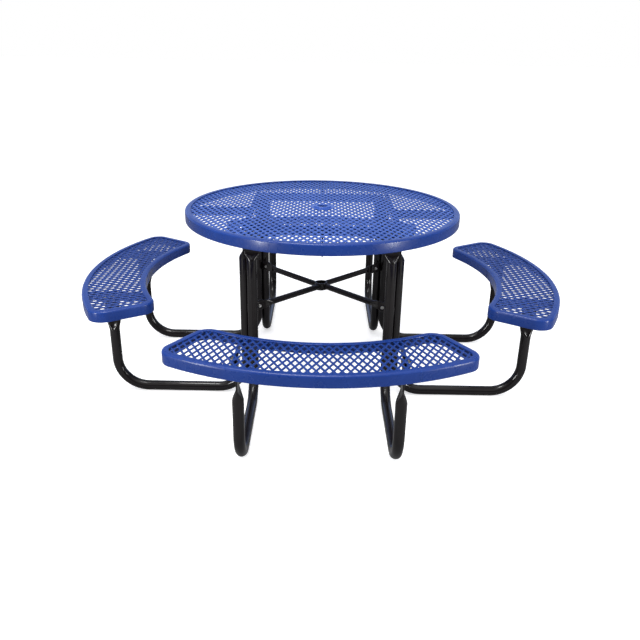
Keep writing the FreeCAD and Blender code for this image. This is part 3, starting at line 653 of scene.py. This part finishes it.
def rim_seam(builder, point, normal, top, seed):
    """The low coated-over weld where two lengths of rim meet, across its wall and lip."""
    path = []
    for down in np.linspace(-RIM_DEPTH + 3 * MM, -ROLL, 14):
        path.append((0.0, down))
    for angle in np.linspace(0, math.pi / 2, 7)[1:-1]:
        path.append((ROLL - ROLL * math.cos(angle), -ROLL + ROLL * math.sin(angle)))
    for inward in np.linspace(ROLL, LIP - 1 * MM, 7):
        path.append((inward, 0.0))
    points = [(*(point - normal * (inward + 0.8 * MM)), top + down - 0.9 * MM) for inward, down in path]
    bead(builder, points, RIM_WELD, seed)


# ------------------------------------------------------------------------- mesh panels

# a cell's width and length, and the points round it
MESH_ACROSS = 27.5 * MM
MESH_ALONG = 54.0 * MM
RING = 12
# points nearer than this become one
WELD = 0.02 * MM
NO_AREA = 1e-9
# from a strand's crown to the hole's edge, and down: (share of the way, share of the half thickness)
STRAND_SECTION = ((0.0, 1.0), (0.66, 0.94), (1.0, 0.42), (1.0, -0.42), (0.66, -0.94), (0.0, -1.0))
# half width and half length of the holes, and the power of their outline: 1 is a diamond, 2 an oval
TOP_HOLE = (8.5 * MM, 15.3 * MM, 1.12)
SEAT_HOLE = (9.5 * MM, 18.3 * MM, 1.02)


def mesh_cell(hole_size):
    """One cell of the mesh: bands from the strands' crown, over the edge, to the underside."""
    half_width, half_length, power = hole_size
    border = []
    hole = []
    for k in range(RING):
        side, step = divmod(k, RING // 4)
        s = step / (RING // 4)
        x0, y0 = (1 - s), s
        xh = (1 - s) ** (1 / power)
        yh = s ** (1 / power)
        signs = ((1, 1), (-1, 1), (-1, -1), (1, -1))[side]
        if side % 2 == 1:
            x0, y0, xh, yh = y0, x0, yh, xh
        border.append((signs[0] * x0 * MESH_ACROSS / 2, signs[1] * y0 * MESH_ALONG / 2))
        hole.append((signs[0] * xh * half_width, signs[1] * yh * half_length))
    border = np.array(border)
    hole = np.array(hole)
    levels = []
    for towards_hole, z in STRAND_SECTION:
        flat = border + (hole - border) * towards_hole
        levels.append(np.column_stack([flat, np.full(RING, z * PANEL_HALF)]))
    return np.array(levels)


def mesh_panel(hole_size, x_range, y_range, wanted, clamp, middle):
    """A panel of cells. wanted(x, y) picks cells, and clamp moves points back inside the edge."""
    cell = mesh_cell(hole_size)
    verts = []
    faces = []
    bands = grid_faces(cell.shape[0], RING, False, True)
    bands = [tuple(reversed(face)) for face in bands]
    half_across, half_along = MESH_ACROSS / 2, MESH_ALONG / 2
    columns = range(math.floor(x_range[0] / half_across), math.ceil(x_range[1] / half_across) + 1)
    rows = range(math.floor(y_range[0] / half_along), math.ceil(y_range[1] / half_along) + 1)
    for column in columns:
        for row in rows:
            x, y = column * half_across, row * half_along
            # cells sit on every other point, like the white squares of a chessboard
            if (column + row) % 2 or not wanted(x, y):
                continue
            base = len(verts) * cell.shape[0] * RING
            verts.append(cell.reshape(-1, 3) + np.array([x, y, middle]))
            faces.append(np.array(bands) + base)
    verts = np.concatenate(verts)
    faces = np.concatenate(faces)
    verts[:, :2] = clamp(verts[:, :2])
    keys = np.round(verts / WELD).astype(np.int64)
    _, first, inverse = np.unique(keys, axis=0, return_index=True, return_inverse=True)
    verts = verts[first]
    faces = inverse.reshape(-1)[faces]
    kept = []
    for face in faces:
        corners = list(dict.fromkeys(face.tolist()))
        if len(corners) < 3:
            continue
        # a face that the clamp has flattened to a line goes
        a, b = verts[corners[1]] - verts[corners[0]], verts[corners[-1]] - verts[corners[0]]
        if np.linalg.norm(np.cross(a, b)) < NO_AREA:
            c = verts[corners[len(corners) // 2]] - verts[corners[0]]
            if np.linalg.norm(np.cross(a, c)) < NO_AREA:
                continue
        kept.append(corners)
    return Builder(verts, kept + border_wall(verts, kept, middle))


def border_wall(verts, faces, middle):
    """Quads that join a panel's top to its underside along its open outer edge."""
    uses = {}
    for face in faces:
        for a, b in zip(face, face[1:] + face[:1]):
            edge = (min(a, b), max(a, b))
            uses[edge] = uses.get(edge, 0) + 1
    open_edges = [edge for edge, count in uses.items() if count == 1]
    below = {}
    for edge in open_edges:
        for corner in edge:
            if verts[corner][2] < middle:
                below[tuple(np.round(verts[corner][:2] / WELD).astype(int))] = corner
    wall = []
    for a, b in open_edges:
        if verts[a][2] > middle and verts[b][2] > middle:
            under = [below.get(tuple(np.round(verts[corner][:2] / WELD).astype(int))) for corner in (b, a)]
            if None not in under:
                wall.append([a, b, *under])
    return wall


# the gap between a panel's edge and the face of its rim
PANEL_GAP = 0.3 * MM
CELL_MARGIN = MESH_ACROSS * 0.35


def make_top_panel():
    """The top's mesh, cut round at the rim and round the umbrella hole."""
    edge = panel_high[0] - PANEL_GAP
    # the plate covers the mesh's cut edge
    bore = PLATE_BORE + 2.5 * MM

    def clamp(xy):
        radius = np.linalg.norm(xy, axis=1)
        target = np.clip(radius, bore, edge)
        return xy * (target / np.maximum(radius, 1e-9))[:, None]

    def wanted(x, y):
        return bore - MESH_ACROSS * 0.2 < math.hypot(x, y) < edge + CELL_MARGIN

    panel = mesh_panel(TOP_HOLE, (-edge, edge), (-edge, edge), wanted, clamp, PANEL_MID)
    # painted reflection: the top's mesh takes the paler copy of the blue
    add_piece("top_panel", panel, TOP_BLUE_PAINTED_REFLECTION, "top_mesh", sharp=80)


def nearest_on_outline(points, outline):
    """The nearest place on a closed outline for every point."""
    starts = outline
    ends = np.roll(outline, -1, axis=0)
    lines = ends - starts
    lengths = (lines ** 2).sum(1)
    offsets = points[:, None, :] - starts[None]
    t = np.clip((offsets * lines[None]).sum(2) / lengths[None], 0, 1)
    spots = starts[None] + t[..., None] * lines[None]
    distance = ((points[:, None, :] - spots) ** 2).sum(2)
    best = distance.argmin(1)
    index = np.arange(len(points))
    return spots[index, best], np.sqrt(distance[index, best])


def inside_outline(points, outline):
    """Which points lie inside a closed outline, by counting crossings."""
    x, y = points[:, 0][:, None], points[:, 1][:, None]
    x0, y0 = outline[:, 0][None], outline[:, 1][None]
    x1, y1 = np.roll(outline[:, 0], -1)[None], np.roll(outline[:, 1], -1)[None]
    crosses = (y0 > y) != (y1 > y)
    at = x0 + (y - y0) / np.where(y1 == y0, 1e-12, y1 - y0) * (x1 - x0)
    return (crosses & (x < at)).sum(1) % 2 == 1


def make_seat_panels():
    """The seats' meshes, cut to the seat's outline inside the rim's wall."""
    points, normals = seat_outline()
    edge = points - normals * (RIM_WALL + PANEL_GAP)

    def clamp(xy):
        out = xy.copy()
        outside = ~inside_outline(xy, edge)
        spots, _ = nearest_on_outline(xy[outside], edge)
        out[outside] = spots
        return out

    def wanted(x, y):
        spot = np.array([[x, y]])
        if inside_outline(spot, edge)[0]:
            return True
        return nearest_on_outline(spot, edge)[1][0] < CELL_MARGIN

    low, high = edge.min(0), edge.max(0)
    panel = mesh_panel(SEAT_HOLE, (low[0], high[0]), (low[1], high[1]), wanted, clamp, SEAT_PANEL_MID)
    for seat, k in QUARTERS.items():
        turned = panel.transformed(quarter(k))
        add_piece(f"seat_panel_{seat}", turned, BLUE, f"seat_mesh_{seat}", sharp=80)


# --------------------------------------------------------------------- rims and plate

TOP_SEAM = math.radians(-109)
# each seat's rim is closed by welds at these fractions of its outline's length
SEAT_SEAMS = (0.04, 0.32, 0.67)


def make_top_rim():
    """The top's rim, with the weld that closes it."""
    angles = np.linspace(0, 2 * math.pi, 240, endpoint=False)
    normals = np.stack([np.cos(angles), np.sin(angles)], 1)
    builder = swept_rim(normals * TOP_RADIUS, normals, TOP_Z)
    seam = np.array([math.cos(TOP_SEAM), math.sin(TOP_SEAM)])
    rim_seam(builder, seam * TOP_RADIUS, seam, TOP_Z, 3)
    add_piece("top_rim_coated", builder, BLUE, "top_rim", sharp=50)


def make_seat_rims():
    """The seats' rims, each with the welds that close it."""
    points, normals = seat_outline()
    builder = swept_rim(points, normals, SEAT_Z)
    for index, fraction in enumerate(SEAT_SEAMS):
        station = int(fraction * len(points))
        rim_seam(builder, points[station], normals[station], SEAT_Z - 0.6 * MM, 21 + index)
    for seat, k in QUARTERS.items():
        turned = builder.transformed(quarter(k))
        add_piece(f"seat_rim_coated_{seat}", turned, BLUE, f"seat_rim_{seat}", sharp=50)


def make_umbrella_plate():
    """The turned plate in the middle of the top: a low flange and a raised boss with a hole."""
    base, crown = plate_low[2], plate_high[2] - BOSS_DROP
    rim = plate_high[0]
    flange = base + PLATE_FLANGE
    profile = fillet_polygon(
        [(PLATE_BORE, base), (rim, base), (rim, flange), (BOSS_R, flange),
         (BOSS_R - 1.5 * MM, crown), (PLATE_BORE, crown)],
        [0.6 * MM, 0.6 * MM, 1.2 * MM, 2.5 * MM, 3.2 * MM, 3.2 * MM], 5)
    rings = []
    for a in np.linspace(0, 2 * math.pi, 96, endpoint=False):
        rings.append([(r * math.cos(a), r * math.sin(a), z) for r, z in profile])
    builder = Builder()
    builder.rings(rings, close_rows=True)
    # painted reflection: the plate takes the top's paler copy of the blue
    add_piece("umbrella_plate_coated", builder, TOP_BLUE_PAINTED_REFLECTION, "umbrella_plate", sharp=50)


# ------------------------------------------------------------------------ tube frame

def tube_path():
    """Centres and tangents of the bent tube in its own plane, from the leg's round top down."""
    span_x = SEAT_RADIAL - LEG_RADIAL
    low = TUBE_R
    stations = []
    for z in np.linspace(LEG_ROUND_TOP, low + BEND_R, 14)[:-1]:
        stations.append(((0.0, z), (0.0, -1.0)))
    for a in np.linspace(0, math.pi / 2, 20)[:-1]:
        centre = (BEND_R - BEND_R * math.cos(a), low + BEND_R - BEND_R * math.sin(a))
        stations.append((centre, (math.sin(a), -math.cos(a))))
    for x in np.linspace(BEND_R, span_x - BEND_R, 8)[:-1]:
        stations.append(((x, low), (1.0, 0.0)))
    for a in np.linspace(0, math.pi / 2, 20)[:-1]:
        centre = (span_x - BEND_R + BEND_R * math.sin(a), low + BEND_R - BEND_R * math.cos(a))
        stations.append((centre, (math.cos(a), math.sin(a))))
    for z in np.linspace(low + BEND_R, SUPPORT_ROUND_TOP, 6):
        stations.append(((span_x, z), (0.0, 1.0)))
    return stations


def make_tube():
    """One tube in its own plane: x along the run, y across, z up; squashed at both ends."""
    builder = Builder()
    span_x = SEAT_RADIAL - LEG_RADIAL
    flat = flat_section(FLAT_W, FLAT_T)
    # the leg's flat is wide across the plane, the support's is wide in the plane
    leg = squash_rings(flat, TUBE_R, lambda h, x, y: (-x, y, h), LEG_ROUND_TOP, LEG_FLAT, LEG_TOP)
    quarter_turn = len(SECTION_ANGLES) // 4
    support = squash_rings(flat, TUBE_R, lambda h, x, y: (span_x - y, x, h),
                           SUPPORT_ROUND_TOP, SUPPORT_FLAT, SUPPORT_TOP)
    support = [list(np.roll(np.array(ring), quarter_turn, axis=0)) for ring in support]
    stations = tube_path()
    rings = leg[::-1]
    across = np.array([0.0, 1.0, 0.0])
    for (cx, cz), (tx, tz) in stations[1:-1]:
        outwards = np.array([tz, 0.0, -tx])
        centre = np.array([cx, 0.0, cz])
        rings.append([centre + TUBE_R * (math.cos(a) * outwards + math.sin(a) * across)
                      for a in np.radians(SECTION_ANGLES)])
    rings += support
    builder.rings(rings)
    return builder


def make_tubes():
    """Two tubes under each seat."""
    tube = make_tube()
    for seat, k in QUARTERS.items():
        for side, sign in SIDES.items():
            facing_out = Matrix.Rotation(-math.pi / 2, 4, "Z")
            stand = Matrix.Translation((sign * TUBE_SIDE, -LEG_RADIAL, 0)) @ facing_out
            placed = tube.transformed(quarter(k) @ stand)
            add_piece(f"tube_{seat}_{side}", placed, BLACK, f"frame_tube_{seat}_{side}",
                      sharp=50)


def make_bars():
    """Flat bars under the top and the seats, with the welds that hold them."""
    for seat, k in QUARTERS.items():
        turn = quarter(k)
        bar = bar_solid(*span(f"top_square_bar_{seat}"))
        welds = Builder()
        end = SQUARE_HALF - BAR_T / 2 - 1.2 * MM
        upright_bead(welds, end, -end, square_low[2] + 2 * MM, square_high[2] - 3 * MM, BAR_WELD, 31 + k)
        bar.merge(welds.transformed(turn))
        add_piece(f"square_bar_{seat}", bar, BLUE, f"top_square_bar_{seat}")
        bar = bar_solid(*span(f"top_radial_bar_{seat}"))
        welds = Builder()
        for index, y in enumerate((radial_low[1] + 1.5 * MM, radial_high[1] - 1.5 * MM)):
            for side in SIDES.values():
                upright_bead(welds, side * (BAR_T / 2 + 1 * MM), y, radial_low[2] + 2 * MM,
                             radial_high[2] - 3 * MM, BAR_WELD, 41 + 7 * k + 2 * index + side)
        bar.merge(welds.transformed(turn))
        add_piece(f"radial_bar_{seat}", bar, BLACK, f"top_radial_bar_{seat}")
        for name in SIDES:
            low, high = span(f"seat_bar_{seat}_{name}")
            bar = bar_solid(low, high)
            lengthwise = int(np.argmax(high - low))
            thin = 1 - lengthwise
            for index, end in enumerate((low[lengthwise] + 2 * MM, high[lengthwise] - 2 * MM)):
                for face in (low[thin] - 0.8 * MM, high[thin] + 0.8 * MM):
                    spot = [0.0, 0.0]
                    spot[lengthwise], spot[thin] = end, face
                    upright_bead(bar, *spot, low[2] + 3 * MM, high[2] - 2 * MM, SEAT_BAR_WELD,
                                 71 + 5 * k + index)
            add_piece(f"seat_cross_bar_{seat}_{name}", bar, BLUE, f"seat_bar_{seat}_{name}")


def make_brace():
    """Hub ring, four arms squashed at their outer ends, and the tabs between the legs."""
    profile = fillet_polygon(
        [(HUB_BORE, -HUB_HALF), (HUB_R, -HUB_HALF), (HUB_R, HUB_HALF), (HUB_BORE, HUB_HALF)],
        [0.8 * MM, 1.2 * MM, 1.2 * MM, 0.8 * MM], 3)
    rings = [[(r * math.cos(a), r * math.sin(a), BRACE_Z + z) for r, z in profile]
             for a in np.linspace(0, 2 * math.pi, 64, endpoint=False)]
    hub = Builder()
    hub.rings(rings, close_rows=True)
    aside = (ARM_FLAT_T + TAB_T) / 2
    flat = flat_section(ARM_FLAT_W, ARM_FLAT_T)
    outer = squash_rings(flat, ARM_R, lambda h, x, y: (h, aside + x, BRACE_Z + y),
                         ARM_ROUND_END, ARM_FLAT, ARM_END, steps=10)
    root = []
    for angle in np.radians(SECTION_ANGLES):
        y, z = aside + ARM_R * math.cos(angle), ARM_R * math.sin(angle)
        root.append((math.sqrt((HUB_R - 1 * MM) ** 2 - y ** 2), y, BRACE_Z + z))
    middle = []
    for x in np.linspace(HUB_R + 8 * MM, ARM_ROUND_END, 12)[:-1]:
        middle.append([(x, aside + ARM_R * math.cos(a), BRACE_Z + ARM_R * math.sin(a))
                       for a in np.radians(SECTION_ANGLES)])
    arm = Builder()
    arm.rings([root] + middle + outer)
    ring_weld = Builder()
    loop = []
    for angle in np.linspace(0, 2 * math.pi, 44, endpoint=False):
        y, z = aside + (ARM_R + 1.0 * MM) * math.cos(angle), (ARM_R + 1.0 * MM) * math.sin(angle)
        loop.append((math.sqrt((HUB_R + 0.6 * MM) ** 2 - y ** 2), y, BRACE_Z + z))
    bead(ring_weld, loop, HUB_WELD, 5, closed=True)
    tab = bar_solid((TAB_IN, -TAB_T / 2, BRACE_Z - TAB_H / 2), (TAB_OUT, TAB_T / 2, BRACE_Z + TAB_H / 2))
    contact = (TUBE_SIDE + LEG_RADIAL) / math.sqrt(2)
    for index, side in enumerate((1, -1)):
        for end, x in ((1, contact - 5.0 * MM), (2, contact + 5.0 * MM)):
            upright_bead(tab, x, side * (TAB_T / 2 + 0.6 * MM), BRACE_Z - TAB_H / 2 + 2 * MM,
                         BRACE_Z + TAB_H / 2 - 2 * MM, TAB_WELD, 11 + index + 2 * end)
    for corner, k in CORNERS.items():
        turn = quarter(k) @ Matrix.Rotation(-math.pi / 4, 4, "Z")
        hub.merge(ring_weld.transformed(turn))
        placed = arm.transformed(turn)
        add_piece(f"arm_{corner}", placed, BLACK, f"brace_arm_{corner}", sharp=50)
        add_piece(f"tab_{corner}", tab.transformed(turn), BLACK, f"leg_tab_{corner}")
    add_piece("brace_hub", hub, BLACK, "brace_hub_ring")


def make_fasteners():
    """Bolts, washers and nuts at the leg tops, under the seats and at the brace."""
    gap = FRAME_BOLT * WASHER_THICK
    bolt = bolt_solid(FRAME_BOLT, FRAME_BOLT_LONG)
    washer = washer_solid(FRAME_BOLT)
    nut = nut_solid(FRAME_BOLT)
    rng = np.random.default_rng(17)
    gathered = {name: Builder() for name in (
        "leg_top_bolts", "leg_top_washers", "leg_top_nuts", "seat_bolts", "seat_washers", "seat_nuts",
        "brace_bolts", "brace_nuts")}

    def place(group, solid, turn, point, direction):
        spin = rng.uniform(0, math.pi / 3)
        gathered[group].merge(solid.transformed(turn @ aimed(point, direction, spin)))

    brace_bolt, brace_nut = bolt_solid(BRACE_BOLT, BRACE_BOLT_LONG), nut_solid(BRACE_BOLT)
    for k in QUARTERS.values():
        turn = quarter(k)
        for side in SIDES.values():
            for shift in (-FRAME_SPACING / 2, FRAME_SPACING / 2):
                inner = -SQUARE_HALF + BAR_T / 2
                x = side * TUBE_SIDE + shift
                outer = -LEG_RADIAL - FLAT_T / 2
                place("leg_top_bolts", bolt, turn, (x, outer, LEG_BOLT_Z), (0, -1, 0))
                place("leg_top_washers", washer, turn, (x, inner, LEG_BOLT_Z), (0, 1, 0))
                place("leg_top_nuts", nut, turn, (x, inner + gap, LEG_BOLT_Z), (0, 1, 0))
                y = -SEAT_RADIAL + shift
                face = side * (TUBE_SIDE - FLAT_T / 2)
                back = side * (TUBE_SIDE + FLAT_T / 2 + BAR_T)
                place("seat_bolts", bolt, turn, (face, y, SEAT_BOLT_Z), (-side, 0, 0))
                place("seat_washers", washer, turn, (back, y, SEAT_BOLT_Z), (side, 0, 0))
                place("seat_nuts", nut, turn, (back + side * gap, y, SEAT_BOLT_Z), (side, 0, 0))
        turn = turn @ Matrix.Rotation(-math.pi / 4, 4, "Z")
        place("brace_bolts", brace_bolt, turn, (BRACE_BOLT_R, TAB_T / 2 + ARM_FLAT_T, BRACE_Z), (0, 1, 0))
        place("brace_nuts", brace_nut, turn, (BRACE_BOLT_R, -TAB_T / 2, BRACE_Z), (0, -1, 0))
    for group, builder in gathered.items():
        add_piece(f"{group}_plated", builder, ZINC, group)


# ------------------------------------------------------------------------------ build

make_top_panel()
make_seat_panels()
make_top_rim()
make_seat_rims()
make_umbrella_plate()
make_tubes()
make_bars()
make_brace()
make_fasteners()


# ------------------------------------------------------------------- floor and lights

def make_floor():
    """A pale floor: bright to the camera, darker in what it reflects onto the table."""
    mesh = bpy.data.meshes.new("floor")
    reach = 40.0
    mesh.from_pydata([(-reach, -reach, 0), (reach, -reach, 0), (reach, reach, 0), (-reach, reach, 0)],
                     [], [(0, 1, 2, 3)])
    material, tree, shader = new_material("floor_pale")
    seen = tree.nodes.new("ShaderNodeLightPath").outputs["Is Camera Ray"]
    link(tree, mix(tree, seen, (0.30, 0.30, 0.30), (0.80, 0.80, 0.80)), shader.inputs["Base Color"])
    shader.inputs["Roughness"].default_value = 0.9
    shader.inputs["Specular IOR Level"].default_value = 0.1
    shader.inputs["Emission Color"].default_value = (1.0, 1.0, 1.0, 1.0)
    link(tree, remap(tree, seen, 0.0, 1.0, 0.0, 0.55), shader.inputs["Emission Strength"])
    mesh.materials.append(material)
    floor = bpy.data.objects.new("floor", mesh)
    bpy.context.scene.collection.objects.link(floor)


def area_light(name, place, target, size, power):
    """A rectangle of light that faces its target; size in metres, power in watts."""
    data = bpy.data.lights.new(name, "AREA")
    data.shape = "RECTANGLE"
    data.size, data.size_y = size
    data.energy = power
    lamp = bpy.data.objects.new(name, data)
    lamp.location = place
    direction = Vector(target) - Vector(place)
    lamp.rotation_mode = "QUATERNION"
    lamp.rotation_quaternion = direction.to_track_quat("-Z", "Y")
    bpy.context.scene.collection.objects.link(lamp)


def make_world():
    """White to the camera. The table sees a studio: dim low down in front, bluish behind, bright above."""
    world = bpy.data.worlds.new("studio")
    world.use_nodes = True
    tree = world.node_tree
    background = tree.nodes["Background"]
    separate = tree.nodes.new("ShaderNodeSeparateXYZ")
    link(tree, tree.nodes.new("ShaderNodeTexCoord").outputs["Generated"], separate.inputs["Vector"])
    front = ramp(tree, separate.outputs["Z"],
                 [(0.0, (0.06, 0.06, 0.06)), (0.35, (0.20, 0.20, 0.20)), (0.9, (1.10, 1.10, 1.10))])
    back = ramp(tree, separate.outputs["Z"],
                [(0.0, (0.62, 0.76, 1.15)), (0.22, (0.58, 0.72, 1.12)), (0.42, (0.16, 0.18, 0.24)),
                 (0.9, (1.10, 1.10, 1.10))])
    sky = mix(tree, remap(tree, separate.outputs["Y"], 0.0, 0.7, 0.0, 1.0), front, back)
    seen = tree.nodes.new("ShaderNodeLightPath").outputs["Is Camera Ray"]
    link(tree, mix(tree, seen, sky, (1.0, 1.0, 1.0)), background.inputs["Color"])
    background.inputs["Strength"].default_value = 1.0
    bpy.context.scene.world = world


def make_camera():
    """The photograph's camera: place, lens and angles (in radians) come from a fit to it."""
    yaw, pitch, roll = 0.003, 0.3945, 0.0191
    forward = Vector((math.sin(yaw) * math.cos(pitch), math.cos(yaw) * math.cos(pitch), -math.sin(pitch)))
    right = Vector((math.cos(yaw), -math.sin(yaw), 0.0))
    up = right.cross(forward)
    right_rolled = right * math.cos(roll) + up * math.sin(roll)
    up_rolled = up * math.cos(roll) - right * math.sin(roll)
    data = bpy.data.cameras.new("camera")
    data.sensor_width = 36.0
    data.lens = 38.245
    camera = bpy.data.objects.new("camera", data)
    rotation = Matrix((right_rolled, up_rolled, -forward)).transposed().to_4x4()
    camera.matrix_world = Matrix.Translation((-0.0105, -2.8941, 1.4287)) @ rotation
    bpy.context.scene.collection.objects.link(camera)
    bpy.context.scene.camera = camera


make_floor()
make_world()
area_light("key_above", (-0.5, -0.9, 3.6), (0, -0.2, 0.5), (1.8, 0.9), 92)
area_light("strip_left", (-2.6, -2.6, 0.9), (0, 0, 0.4), (0.26, 1.8), 84)
area_light("strip_right", (2.9, -2.2, 0.9), (0, 0, 0.4), (0.26, 1.8), 84)
make_camera()
bpy.context.scene.view_settings.view_transform = "Standard"
